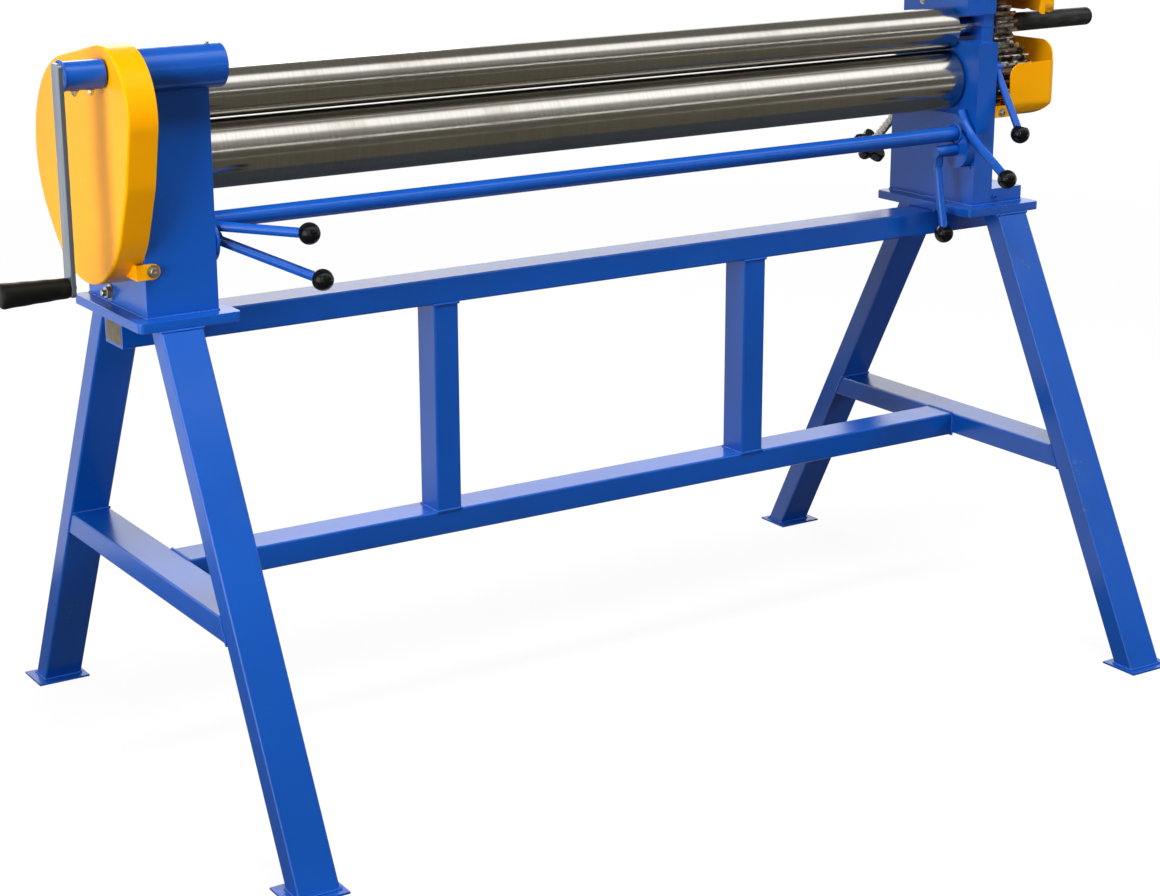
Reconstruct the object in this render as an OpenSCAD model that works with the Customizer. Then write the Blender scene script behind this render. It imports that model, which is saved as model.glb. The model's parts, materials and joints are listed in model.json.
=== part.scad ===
// Hand-cranked plate rolling machine (slip roll) on a welded stand.
// X runs along the rolls, the operator stands at -Y, Z is up, floor at z = 0.

/* [Rolls] */
// Length of the roll faces between the two columns
roll_len = 1534; // [1500:1:1534]
// Diameter of the top roll
top_roll_d = 78; // [74:1:78]
// Diameter of the bottom roll
bottom_roll_d = 109; // [104:1:109]
// Diameter of the rear bending roll
rear_roll_d = 78; // [74:1:80]
// Height of the bottom roll's axis above the floor
roll_z = 1030; // [1029:1:1031]

/* [Gears] */
// Tooth module of the exposed roll gears
gear_m = 5; // [5:1:5]
// Teeth on the top roll's gear
top_teeth = 16; // [16:1:16]
// Teeth on the bottom roll's gear
bottom_teeth = 22; // [22:1:22]
// Face width of the roll gears
gear_w = 50; // [40:1:52]

/* [Crank] */
// Radius from the crank shaft to the grip's axis
crank_r = 314; // [260:1:330]
// Length of the grip beyond the crank arm
grip_len = 108; // [96:1:108]
// Diameter of the grip at its thick free end
grip_d = 40; // [36:1:42]

/* [Levers] */
// Diameter of the ball knobs
ball_d = 35; // [30:1:36]
// Diameter of the lever bars
lever_d = 16; // [12:1:16]
// Diameter of the tie rod that joins the two eccentrics
tie_rod_d = 28; // [24:1:28]

/* [Stand] */
// Height of the base plates' top faces
stand_h = 800; // [800:1:800]
// Width of the tube of legs, braces and rails
tube_w = 70; // [60:1:70]
// Height of the legs' and braces' tube
tube_h = 40; // [36:1:42]
// Wall of the stand's tubes
tube_t = 3; // [2:0.5:4]
// Sideways run of a leg for each millimetre of height
leg_slope = 0.52; // [0.48:0.01:0.54]
// Top of the cross braces and the lower rail
brace_z = 375.5; // [340:0.5:400]
// Distance of each post from the middle
post_x = 323.5; // [250:0.5:400]

/* [Hidden] */
$fn = 72;
eps = 0.02;           // keeps a sleeve off the piece it holds
run = 0.05;           // running clearance of shafts in their bores

// base plates and columns
plate_in = 745;
plate_out = 916;
plate_hw = 135;
plate_t = 16;
col_in = 772;
col_out = 892;
col_front = -110;
col_back = 128;
col_wall = 8;
col_left_top = 1160;
slab_out = 818;
slab_top = 1102;
step_top = 829;

// legs
leg_in = 812;
leg_top_y = 115.3;
leg_hw = tube_h/2*sqrt(1 + leg_slope*leg_slope);
foot_t = 4;
rail_h = 44.5;
low_rail_h = 43;

// roll axes
roll_y = -25;
top_z = roll_z + gear_m*(top_teeth + bottom_teeth)/2;
roll_end = roll_len/2;
top_jr = 18;
bottom_jr = 25;
rear_jr = 15;
rear_x_left = -792;   // rear screws, in line with their bearing blocks
rear_x_right = 795;
rear_y = 85;
rear_z = 1000;
rear_tilt = 44;      // slope of the rear adjusting screws
gear_x = 852;
gear_end = gear_x + gear_w;
bottom_gear_end = gear_end + 30;   // the lower gear is the wider one
bar_end = 1124;       // end of the lifting bar

// crank shaft
crank_y = -110;
crank_z = 1179;
crank_shaft_r = 14;
crank_tube_r = 34;
arm_x = -1016;
arm_t = 8;
arm_w = 30;

// left drive guard: outline circles as [y, z, r]
guard_face = -940;
guard_t = 2.5;
guard_end = 969;      // end wall of the gear guards
guard_discs = [[-92, 1118, 101], [41, 1033, 159], [11, 1005, 164], [-53, 1050, 123]];

// eccentric axis on both columns
ecc_y = -78;
ecc_z = 905;
ecc_r = 34;
tie_z = ecc_z + 30;
tie_y = -75;

// yoke hinge and its lock lever
hinge_y = 104;
hinge_z = 1128;
lock_y = -91;
lock_z = 1053;

// ---- helpers ----

// children drawn as (y, z) are stretched from x0 to x1
module along_x(x0, x1)
    translate([x0, 0, 0]) rotate([90, 0, 90]) linear_extrude(height = x1 - x0) children();

// round bar along X
module bar_x(x0, x1, y, z, r)
    translate([x0, y, z]) rotate([0, 90, 0]) cylinder(h = x1 - x0, r = r);

// box between two corners
module block(lo, hi) translate(lo) cube(hi - lo);

// round bar between two points
module bar(a, b, r) {
    v = b - a;
    l = norm(v);
    translate(a) rotate([0, acos(v[2]/l), atan2(v[1], v[0])]) cylinder(h = l, r = r);
}

// bent bar through a list of points
module bent_bar(pts, r)
    union() {
        for (i = [0 : len(pts) - 2]) bar(pts[i], pts[i + 1], r);
        for (i = [1 : 1 : len(pts) - 2]) translate(pts[i]) sphere(r + 0.4);
    }

// square with rounded corners between two corners, in the plane
module rounded(lo, hi, r)
    union() {
        translate([lo[0] + r, lo[1]]) square([hi[0] - lo[0] - 2*r, hi[1] - lo[1]]);
        translate([lo[0], lo[1] + r]) square([hi[0] - lo[0], hi[1] - lo[1] - 2*r]);
        for (x = [lo[0] + r, hi[0] - r], y = [lo[1] + r, hi[1] - r]) translate([x, y]) circle(r);
    }

// outline point of the belt around the discs that faces angle a
function belt_reach(d, n) = d[0]*n[0] + d[1]*n[1] + d[2];
function belt_best(discs, n, i = 0, b = 0) =
    i >= len(discs) ? b : belt_best(discs, n, i + 1, belt_reach(discs[i], n) > belt_reach(discs[b], n) ? i : b);
function belt(discs, grow, steps) = [for (k = [0 : steps - 1])
    let (a = 360*k/steps, n = [cos(a), sin(a)], d = discs[belt_best(discs, n)])
    [d[0] + (d[2] + grow)*n[0], d[1] + (d[2] + grow)*n[1]]];

// involute spur gear drawn around the origin with a tooth towards angle 0
function inv_angle(r, rb) = r <= rb ? 0 : sqrt(r*r/rb/rb - 1)*180/PI - acos(rb/r);
function tooth_half(r, n, rp, rb) =
    (90/n - 0.2*180/PI/rp) + inv_angle(rp, rb) - inv_angle(r, rb);
function tooth_side(n, rp, rb, ra, rf, steps) = [for (i = [0 : steps])
    let (r = max(rf, rb) + (ra - max(rf, rb))*i/steps) [r, tooth_half(r, n, rp, rb)]];
function gear_points(m, n) =
    let (rp = m*n/2, rb = rp*cos(20), ra = rp + m - 0.1, rf = rp - 1.25*m,
        side = tooth_side(n, rp, rb, ra, rf, 5), foot = side[0][1])
    [for (t = [0 : n - 1]) let (c = 360*t/n) each concat(
        [[rf*cos(c - foot - 1), rf*sin(c - foot - 1)]],
        [for (s = side) [s[0]*cos(c - s[1]), s[0]*sin(c - s[1])]],
        [for (i = [len(side) - 1 : -1 : 0]) [side[i][0]*cos(c + side[i][1]), side[i][0]*sin(c + side[i][1])]],
        [[rf*cos(c + foot + 1), rf*sin(c + foot + 1)]])];

// ---- stand ----

module leg(sx, sy) {
    top = stand_h - plate_t;
    drop = leg_slope*(top - foot_t);
    w = tube_t*sqrt(1 + leg_slope*leg_slope);
    x0 = sx > 0 ? leg_in : -leg_in - tube_w;
    color("RoyalBlue") difference() {
        along_x(x0, x0 + tube_w)
            polygon([[sy*(leg_top_y - leg_hw), top], [sy*(leg_top_y + leg_hw), top],
                [sy*(leg_top_y + drop + leg_hw), foot_t], [sy*(leg_top_y + drop - leg_hw), foot_t]]);
        along_x(x0 + tube_t, x0 + tube_w - tube_t)
            polygon([[sy*(leg_top_y - leg_hw + w - leg_slope), top + 1], [sy*(leg_top_y + leg_hw - w - leg_slope), top + 1],
                [sy*(leg_top_y + drop + leg_hw - w + leg_slope), foot_t - 1],
                [sy*(leg_top_y + drop - leg_hw + w + leg_slope), foot_t - 1]]);
    }
}

module foot_plate(sx, sy) {
    x0 = sx > 0 ? 803 : -899;
    y0 = sy > 0 ? 480 : -557;
    color("RoyalBlue") block([x0, y0, 0], [x0 + 96, y0 + 77, foot_t]);
}

module cross_brace(sx) {
    x0 = sx > 0 ? leg_in : -leg_in - tube_w;
    top = stand_h - plate_t;
    y1 = leg_top_y + leg_slope*(top - brace_z) - leg_hw;
    y0 = y1 + leg_slope*tube_h;
    z0 = brace_z - tube_h;
    color("RoyalBlue") difference() {
        along_x(x0, x0 + tube_w) polygon([[-y1, brace_z], [y1, brace_z], [y0, z0], [-y0, z0]]);
        along_x(x0 + tube_t, x0 + tube_w - tube_t)
            polygon([[-y0 - 9, brace_z - tube_t], [y0 + 9, brace_z - tube_t], [y0 + 9, z0 + tube_t], [-y0 - 9, z0 + tube_t]]);
    }
}

// square tube along X with closed ends
module tube_x(x0, x1, y0, y1, z0, z1)
    color("RoyalBlue") difference() {
        block([x0, y0, z0], [x1, y1, z1]);
        block([x0 + tube_t, y0 + tube_t, z0 + tube_t], [x1 - tube_t, y1 - tube_t, z1 - tube_t]);
    }

module post(sx)
    color("RoyalBlue") difference() {
        block([sx*post_x - 23.5, -tube_w/2, brace_z], [sx*post_x + 23.5, 25, stand_h - plate_t - rail_h]);
        block([sx*post_x - 23.5 + tube_t, -tube_w/2 + tube_t, brace_z - 1],
            [sx*post_x + 23.5 - tube_t, 25 - tube_t, stand_h - plate_t - rail_h + 1]);
    }

module base_plate(sx)
    color("RoyalBlue") translate([0, 0, stand_h - plate_t]) linear_extrude(height = plate_t)
        rounded([sx > 0 ? plate_in : -plate_out, -plate_hw], [sx > 0 ? plate_out : -plate_in, plate_hw], 9);

// ---- columns ----

// things placed in the tilted frame of the rear screws: local +Z points forward and up
module rear_frame(x) translate([x, rear_y, rear_z]) rotate([90 - rear_tilt, 0, 0]) children();

rear_len = 48;        // bearing block along its travel
rear_wide = 40;       // bearing block across its travel
rear_up = 15;
rear_down = 8;
rear_knob = 171;      // from the roll axis to the star knob
star_r = 37;

module rear_slot(x0, x1)
    rear_frame((x0 + x1)/2) block([-(x1 - x0)/2, -rear_wide/2 - 0.3, -rear_len/2 - rear_down - 1],
        [(x1 - x0)/2, rear_wide/2 + 0.3, rear_len/2 + rear_up + 1]);

module column_left()
    color("RoyalBlue") difference() {
        block([-col_out, col_front, stand_h], [-col_in, col_back, col_left_top]);
        block([-col_out + col_wall, col_front + col_wall, stand_h - 1],
            [-col_in - col_wall, col_back - col_wall, col_left_top - col_wall]);
        bar_x(-col_out - 1, -col_in + 1, crank_y, crank_z, crank_tube_r + eps);
        bar_x(-col_out - 1, -col_in + 1, roll_y, top_z, top_jr + run);
        bar_x(-col_out - 1, -col_in + 1, roll_y, roll_z, bottom_jr + run);
        bar_x(-col_in - col_wall - 1, -col_in + 1, ecc_y, ecc_z, 12 + run);
        rear_slot(-812, -col_in + 1);
        rear_frame(rear_x_left) translate([0, 0, -150]) cylinder(h = 122, r = 9 + run);
    }

module column_right()
    color("RoyalBlue") difference() {
        union() {
            block([col_in, col_front, stand_h], [col_out, col_back, step_top]);
            block([col_in, col_front, step_top - 1], [slab_out, col_back, slab_top]);
            // saddle that carries the top roll's journal
            block([slab_out - 1, roll_y - 40, 1084], [846, roll_y + 40, top_z]);
            // hinge ears of the yoke
            for (x = [[col_in, col_in + 14], [slab_out - 14, slab_out]]) {
                block([x[0], hinge_y - 18, slab_top - 1], [x[1], hinge_y + 18, hinge_z]);
                bar_x(x[0], x[1], hinge_y, hinge_z, 18);
            }
        }
        bar_x(slab_out - 2, 900, roll_y, top_z, top_jr + run);
        bar_x(col_in - 1, slab_out + 30, roll_y, roll_z, bottom_jr + run);
        bar_x(col_in - 1, slab_out - 6, ecc_y, ecc_z, 12 + run);
        bar_x(col_in + 18, slab_out + 1, lock_y, lock_z, 8 + run);
        bar_x(col_in - 1, slab_out + 1, hinge_y, hinge_z, 8 + eps);
        bar_x(col_in - 1, col_in + 12, -99, 874, 4);
        rear_slot(col_in - 1, slab_out + 1);
        rear_frame(rear_x_right) translate([0, 0, -150]) cylinder(h = 122, r = 9 + run);
    }

module crank_bearing_tube()
    color("RoyalBlue") difference() {
        bar_x(-col_out, -751, crank_y, crank_z, crank_tube_r);
        bar_x(-col_out - 1, -750, crank_y, crank_z, crank_shaft_r + run);
    }

// ---- guards ----

module drive_guard()
    color("Orange") difference() {
        union() {
            along_x(guard_face, -col_out - 0.3) polygon(belt(guard_discs, 0, 96));
            // lug with a round end that is screwed to the column's front face
            block([-907, col_front - 3.2, 862], [-880, col_front - 0.2, 886]);
            translate([-880, col_front - 0.2, 874]) rotate([90, 0, 0]) cylinder(h = 3, r = 12);
            block([-907, col_front - 3.2, 862], [-904, -70, 886]);
        }
        along_x(guard_face + guard_t, -col_out - 0.3 - guard_t) polygon(belt(guard_discs, -guard_t, 96));
        bar_x(guard_face - 1, -col_out, crank_y, crank_z, crank_shaft_r + 1.5);
        bar_x(-905, -col_out, roll_y, top_z, top_jr + 5);
        bar_x(-905, -col_out, roll_y, roll_z, bottom_jr + 5);
    }

// tray with rounded edges below, in front and at its closed end, grown inwards by t
module tub(lo, hi, r, t) {
    top = hi[1] + 60;
    x1 = guard_end - t;
    y0 = lo[0] + t;
    y1 = hi[0] - t;
    intersection() {
        along_x(gear_x - 40, x1) rounded([y0, lo[1] + t], [y1, top], r[0] - t);
        translate([0, y1, 0]) rotate([90, 0, 0]) linear_extrude(height = y1 - y0)
            rounded([gear_x - 100, lo[1] + t], [x1, top], r[1] - t);
        translate([0, 0, lo[1]]) linear_extrude(height = top - lo[1])
            rounded([gear_x - 100, y0], [x1, y1], r[2] - t);
    }
}

// what a corner of radius r loses, for a corner at the origin whose centre lies at +x, -y
module corner_loss(r) difference() { translate([-1, -r]) square([r + 1, r + 1]); translate([r, -r]) circle(r); }

// a flat shape drawn as (x, z) and stretched from y0 back to y1
module along_y(y0, y1) translate([0, y1, 0]) rotate([90, 0, 0]) linear_extrude(height = y1 - y0) children();

module gear_guard_lower() {
    lo = [-112, 960];
    hi = [62, 1095];
    r = [30, 54, 22];
    wall = 1060;      // top of the front wall
    color("Orange") difference() {
        union() {
            intersection() {
                tub(lo, hi, r, 0);
                block([gear_x - 1, -200, 900], [1000, 200, hi[1]]);
            }
            // tab that is screwed to the column
            block([slab_out + 0.2, -109.5, 962], [gear_x + 4, -107, 984]);
        }
        tub(lo, hi, r, guard_t);
        // the front wall is low, so that the gears stay in sight
        block([gear_x - 50, -200, wall], [1000, lo[0] + 12, 1200]);
        along_y(-200, -100) translate([gear_x - 1, wall]) corner_loss(26);
        along_x(900, 1000) translate([lo[0] + 12, hi[1]]) corner_loss(35);
    }
}

module gear_guard_upper() {
    lo = [-100, -1205];
    hi = [50, -1146];
    r = [28, 34, 12];
    color("Orange") difference() {
        union() {
            mirror([0, 0, 1]) intersection() {
                tub(lo, hi, r, 0);
                block([gear_x - 2, -200, -1300], [1000, 200, hi[1]]);
            }
            block([846, -56, 1200.5], [gear_x + 4, 38, 1204]);
        }
        mirror([0, 0, 1]) tub(lo, hi, r, guard_t);
        // the front wall is cut away in front of the gear, and the end wall round the lifting bar
        along_y(-200, -70) polygon([[800, 1100], [925, 1100], [925, 1146], [934, 1188], [800, 1188]]);
        along_y(-200, -80) translate([925, 1146]) mirror([0, 1]) corner_loss(10);
        along_x(940, 1000) translate([lo[0], 1146]) mirror([0, 1]) corner_loss(20);
        bar_x(940, 1000, roll_y, top_z, 23.5);
    }
}

module yoke()
    color("RoyalBlue") difference() {
        union() {
            along_x(776, 846) polygon([[-70, 1150], [hinge_y - 8, 1150], [hinge_y - 18, 1190], [66, 1205], [-58, 1205], [-70, 1193]]);
            block([820, roll_y - 40, top_z + 0.5], [846, roll_y + 40, 1151]);
            block([787, hinge_y - 21, hinge_z], [803, hinge_y + 18, 1190]);
            bar_x(787, 803, hinge_y, hinge_z, 18);
        }
        bar_x(700, 900, roll_y, top_z, top_jr + run);
        bar_x(700, 900, hinge_y, hinge_z, 8 + run);
    }

module yoke_hinge_pin() color("Silver") bar_x(col_in + 1, slab_out + 3, hinge_y, hinge_z, 8);

// ---- rolls and gears ----

module top_roll()
    color("Silver") union() {
        bar_x(-roll_end, roll_end, roll_y, top_z, top_roll_d/2);
        bar_x(-900, gear_end, roll_y, top_z, top_jr);
    }

module bottom_roll()
    color("Silver") union() {
        bar_x(-roll_end, roll_end, roll_y, roll_z, bottom_roll_d/2);
        bar_x(-900, bottom_gear_end, roll_y, roll_z, bottom_jr);
    }

module rear_roll()
    color("Silver") union() {
        bar_x(-roll_end, roll_end, rear_y, rear_z, rear_roll_d/2);
        bar_x(-805, 815, rear_y, rear_z, rear_jr);
    }

module spur_gear(teeth, z, bore, turn, end)
    translate([0, roll_y, z]) along_x(gear_x, end) difference() {
        rotate(turn) polygon(gear_points(gear_m, teeth));
        circle(bore + eps);
    }

module top_roll_gear() color("DimGray") spur_gear(top_teeth, top_z, top_jr, 270 + 180/top_teeth, gear_end);

module bottom_roll_gear() color("DimGray") spur_gear(bottom_teeth, roll_z, bottom_jr, 90, bottom_gear_end);

module lift_bar()
    color("Black") translate([gear_end, roll_y, top_z]) rotate([0, 90, 0]) rotate_extrude()
        union() {
            polygon([[0, 0], [18, 0], [17, bar_end - gear_end - 7], [0, bar_end - gear_end - 7]]);
            square([10, bar_end - gear_end]);
            translate([10, bar_end - gear_end - 7]) intersection() { circle(7); square(7); }
        }

// ---- crank ----

module crank_arm()
    color("RoyalBlue") difference() {
        union() {
            along_x(arm_x, arm_x + arm_t) rounded([crank_y - arm_w/2, crank_z - crank_r - 14], [crank_y + arm_w/2, crank_z + 20], 7);
            bar_x(arm_x + arm_t - 1, -943, crank_y, crank_z, 22);
        }
        bar_x(arm_x + arm_t, -942, crank_y, crank_z, crank_shaft_r + eps);
        bar_x(arm_x - 1, arm_x + arm_t + 1, crank_y, crank_z - crank_r, 6 + run);
    }

module crank_shaft()
    color("Silver") union() {
        bar_x(arm_x + arm_t, -748, crank_y, crank_z, crank_shaft_r);
        bar_x(-749, -743, crank_y, crank_z, 6);
    }

module crank_grip()
    color("Black") union() {
        translate([arm_x, crank_y, crank_z - crank_r]) rotate([0, -90, 0]) rotate_extrude() union() {
            polygon([[0, 1], [grip_d/2 - 4, 1], [grip_d/2, grip_len - 5], [0, grip_len - 5]]);
            square([grip_d/2 - 5, grip_len]);
            translate([grip_d/2 - 5, grip_len - 5]) intersection() { circle(5); square(5); }
        }
        bar_x(arm_x - 2, arm_x + arm_t + 4, crank_y, crank_z - crank_r, 6);
    }

// ---- levers ----

ecc_left_ball = [-649, -185, 919];
ecc_right_ball = [761, -211, 867];
ecc_right_path = [[761, -79, 977], [761, -90, 957], [761, -110, 935], [761, -142, 911], [761, -174, 891]];
clamp_right_path = [[714, -75, 872], [714, -84, 821]];
clamp_left_ball = [-631, -190, 845];
clamp_right_ball = [714, -99, 754];
lock_ball = [832, -164, 938];

// end of a lever bar, sunk into its ball
function sunk(a, b) = b - (b - a)/norm(b - a)*4;

module eccentric_lever_left()
    color("RoyalBlue") difference() {
        union() {
            bar_x(-771, -766, ecc_y, ecc_z, ecc_r);
            bar_x(-779, -770, ecc_y, ecc_z, 12);
            bar([-762, -88, 928], sunk([-762, -88, 928], ecc_left_ball), lever_d/2);
        }
        bar_x(-800, -750, ecc_y, ecc_z, 6 + run);
        bar_x(-766, -700, tie_y, tie_z, tie_rod_d/2 + eps);
    }

module eccentric_lever_right()
    color("RoyalBlue") difference() {
        union() {
            bar_x(752, 770, ecc_y, ecc_z, ecc_r);
            bar_x(769, 808, ecc_y, ecc_z, 12);
            bent_bar(concat(ecc_right_path, [sunk(ecc_right_path[4], ecc_right_ball)]), lever_d/2);
        }
        bar_x(700, 820, ecc_y, ecc_z, 6 + run);
    }

module tie_rod() color("RoyalBlue") bar_x(-765.95, 751.95, tie_y, tie_z, tie_rod_d/2);

module clamp_lever_left()
    color("RoyalBlue") union() {
        bar_x(-765, -751, ecc_y, ecc_z, 12);
        bar_x(-779, -764, ecc_y, ecc_z, 6);
        bar([-757, ecc_y, ecc_z], sunk([-757, ecc_y, ecc_z], clamp_left_ball), lever_d/2);
    }

module clamp_lever_right()
    color("RoyalBlue") union() {
        bar_x(703, 751, ecc_y, ecc_z, 11);
        bar_x(750, 800, ecc_y, ecc_z, 6);
        bent_bar(concat([[714, ecc_y, ecc_z]], clamp_right_path, [sunk(clamp_right_path[1], clamp_right_ball)]), lever_d/2);
    }

module lock_lever()
    color("RoyalBlue") union() {
        bar_x(820, 841, lock_y, lock_z, 10);
        bar_x(795, 821, lock_y, lock_z, 8);
        bar([832, lock_y, lock_z], sunk([832, lock_y, lock_z], lock_ball), 7);
    }

// ball knob with a blind bore for its lever bar
module ball_knob(p, from, r)
    color("Black") difference() {
        translate(p) sphere(ball_d/2);
        bar(sunk(from, p) - (p - from)/norm(p - from)*40, sunk(from, p), r + eps);
    }

// ---- rear adjustment ----

module rear_bearing(x0, x1)
    color("DimGray") difference() {
        rear_frame((x0 + x1)/2) block([-(x1 - x0)/2, -rear_wide/2, -rear_len/2], [(x1 - x0)/2, rear_wide/2, rear_len/2]);
        bar_x(x0 - 1, x1 + 1, rear_y, rear_z, rear_jr + run);
        rear_frame((x0 + x1)/2) translate([0, 0, -rear_len/2 - 1]) cylinder(h = 9, r = 9 + run);
    }

module rear_screw(x)
    color("Silver") rear_frame(x) translate([0, 0, -rear_knob - 20]) cylinder(h = rear_knob + 20 - rear_len/2 + 7, r = 9);

module star_knob(x)
    color("Black") rear_frame(x) translate([0, 0, -rear_knob - 28]) difference() {
        union() {
            cylinder(h = 28, r = 17);
            translate([0, 0, 3]) linear_extrude(height = 20) union() {
                circle(r = star_r - 13);
                for (a = [0 : 72 : 288]) rotate(a + 7) translate([star_r - 12, 0]) circle(r = 12);
            }
        }
        translate([0, 0, 5]) cylinder(h = 40, r = 9 + eps);
    }

foot_plate(-1, -1);  // foot_plate_front_left
foot_plate(-1, 1);  // foot_plate_back_left
foot_plate(1, -1);  // foot_plate_front_right
foot_plate(1, 1);  // foot_plate_back_right
leg(-1, -1);  // leg_front_left
leg(-1, 1);  // leg_back_left
leg(1, -1);  // leg_front_right
leg(1, 1);  // leg_back_right
cross_brace(-1);  // cross_brace_left
cross_brace(1);  // cross_brace_right
tube_x(-leg_in, leg_in, -tube_w/2, tube_w/2, brace_z - low_rail_h, brace_z);  // lower_rail
tube_x(-905, 905, -tube_w/2, tube_w/2, stand_h - plate_t - rail_h, stand_h - plate_t);  // upper_rail
post(-1);  // post_left
post(1);  // post_right
base_plate(-1);  // base_plate_left
base_plate(1);  // base_plate_right
column_left();
column_right();
crank_bearing_tube();
drive_guard();
gear_guard_lower();
gear_guard_upper();
yoke();
yoke_hinge_pin();
top_roll();
bottom_roll();
rear_roll();
top_roll_gear();
bottom_roll_gear();
lift_bar();
crank_arm();
crank_shaft();
crank_grip();
eccentric_lever_left();
eccentric_lever_right();
tie_rod();
clamp_lever_left();
clamp_lever_right();
lock_lever();
ball_knob(ecc_left_ball, [-762, -88, 928], lever_d/2);  // ball_eccentric_left
ball_knob(ecc_right_ball, ecc_right_path[4], lever_d/2);  // ball_eccentric_right
ball_knob(clamp_left_ball, [-757, ecc_y, ecc_z], lever_d/2);  // ball_clamp_left
ball_knob(clamp_right_ball, clamp_right_path[1], lever_d/2);  // ball_clamp_right
ball_knob(lock_ball, [832, lock_y, lock_z], 7);  // ball_lock
rear_bearing(-810, -774);  // rear_bearing_left
rear_bearing(774, 816);  // rear_bearing_right
rear_screw(rear_x_left);  // rear_screw_left
rear_screw(rear_x_right);  // rear_screw_right
star_knob(rear_x_left);  // star_knob_left
star_knob(rear_x_right);  // star_knob_right
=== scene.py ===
"""Looks of a hand-cranked plate rolling machine, laid out as a Blender add-on."""
import json
import math

import bmesh
import bpy
import numpy as np
from mathutils import Matrix, Vector


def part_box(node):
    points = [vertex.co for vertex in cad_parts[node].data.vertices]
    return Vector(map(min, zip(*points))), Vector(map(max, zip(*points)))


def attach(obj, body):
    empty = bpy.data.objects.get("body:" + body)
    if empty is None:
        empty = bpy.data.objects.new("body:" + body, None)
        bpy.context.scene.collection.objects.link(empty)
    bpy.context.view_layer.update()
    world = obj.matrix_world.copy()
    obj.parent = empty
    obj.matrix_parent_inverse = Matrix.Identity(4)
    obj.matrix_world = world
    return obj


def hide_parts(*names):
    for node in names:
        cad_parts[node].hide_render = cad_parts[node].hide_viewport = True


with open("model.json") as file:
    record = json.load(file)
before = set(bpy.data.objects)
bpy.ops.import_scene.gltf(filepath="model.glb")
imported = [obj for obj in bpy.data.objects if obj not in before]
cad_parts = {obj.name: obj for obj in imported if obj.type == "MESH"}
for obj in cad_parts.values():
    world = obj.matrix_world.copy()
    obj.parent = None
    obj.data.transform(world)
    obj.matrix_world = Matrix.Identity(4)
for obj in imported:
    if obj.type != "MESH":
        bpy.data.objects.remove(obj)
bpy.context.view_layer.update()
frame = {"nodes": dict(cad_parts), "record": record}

bl_info = {
    "name": "Plate rolling machine",
    "version": (1, 0, 0),
    "blender": (4, 5, 0),
    "location": "View3D > Sidebar > Plate roller",
    "description": "Builds the finish of a hand-cranked plate rolling machine around its packed frame",
    "category": "Add Mesh",
}

BODY_OF = {node: body for body, nodes in frame["record"]["behaviour"]["bodies"].items() for node in nodes}
JOINTS = {j["name"]: j for j in frame["record"]["behaviour"]["joints"]}
X, Y, Z = Vector((1, 0, 0)), Vector((0, 1, 0)), Vector((0, 0, 1))
ROLL_Y = -0.025             # depth of the top and bottom rolls' axes
PACKED_MERGE = 2e-6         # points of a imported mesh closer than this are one
CORNER = 1.2                # faces that meet at more than this many radians make a corner


# ---- sizes and colours

def length_value(label, what, default):
    return bpy.props.FloatProperty(name=label, description=what, default=default, unit="LENGTH")


def colour_value(label, what, default):
    return bpy.props.FloatVectorProperty(name=label, description=what, default=default, subtype="COLOR")


class RollerSizes(bpy.types.PropertyGroup):
    """Sizes of the finish that a user may change."""
    tube_radius: length_value("Tube corner radius", "Outer corner radius of the stand's tubes", 0.0035)
    plate_edge: length_value("Plate edge", "Broken edge of cut plates and columns", 0.0012)
    guard_edge: length_value("Guard edge", "Pressed edge radius of the drive guard", 0.004)
    bead_radius: length_value("Weld bead", "Radius of one ripple of a weld", 0.0026)
    bead_pitch: length_value("Weld pitch", "Distance between two ripples of a weld", 0.0032)
    thread_pitch: length_value("Thread pitch", "Lead of the rear adjusting screws", 0.004)
    grip_ribs: bpy.props.IntProperty(name="Grip ribs", description="Number of waves along the crank's grip",
                                     default=3, min=1)


class RollerColours(bpy.types.PropertyGroup):
    """Colours of the finish that a user may change."""
    enamel: colour_value("Blue enamel", "Paint of the stand and columns", (0.003, 0.080, 0.43))
    safety: colour_value("Safety enamel", "Paint of the guards", (1.0, 0.395, 0.001))
    steel: colour_value("Ground steel", "Bare steel of the rolls", (0.46, 0.445, 0.41))
    gear: colour_value("Oiled steel", "Steel of the gears", (0.42, 0.39, 0.34))
    zinc: colour_value("Zinc", "Plating of screws and washers", (0.62, 0.56, 0.42))


def added(name, data):
    """A new object in the scene."""
    item = bpy.data.objects.new(name, data)
    bpy.context.scene.collection.objects.link(item)
    return item


def sizes():
    return bpy.context.scene.roller_sizes


# ---- shader maths

class Wire:
    """One shader socket that takes part in arithmetic."""

    def __init__(self, finish, socket):
        self.finish, self.socket = finish, socket

    def _math(self, operation, a, b):
        return self.finish.node("ShaderNodeMath", {"operation": operation}, {0: a, 1: b})

    def __add__(self, other):
        return self._math("ADD", self, other)

    def __radd__(self, other):
        return self._math("ADD", other, self)

    def __mul__(self, other):
        return self._math("MULTIPLY", self, other)

    def __rmul__(self, other):
        return self._math("MULTIPLY", other, self)

    def ramp(self, low, high, to_low=0.0, to_high=1.0):
        values = {"Value": self, "From Min": low, "From Max": high, "To Min": to_low, "To Max": to_high}
        return self.finish.node("ShaderNodeMapRange", {"interpolation_type": "SMOOTHSTEP"}, values)


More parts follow.
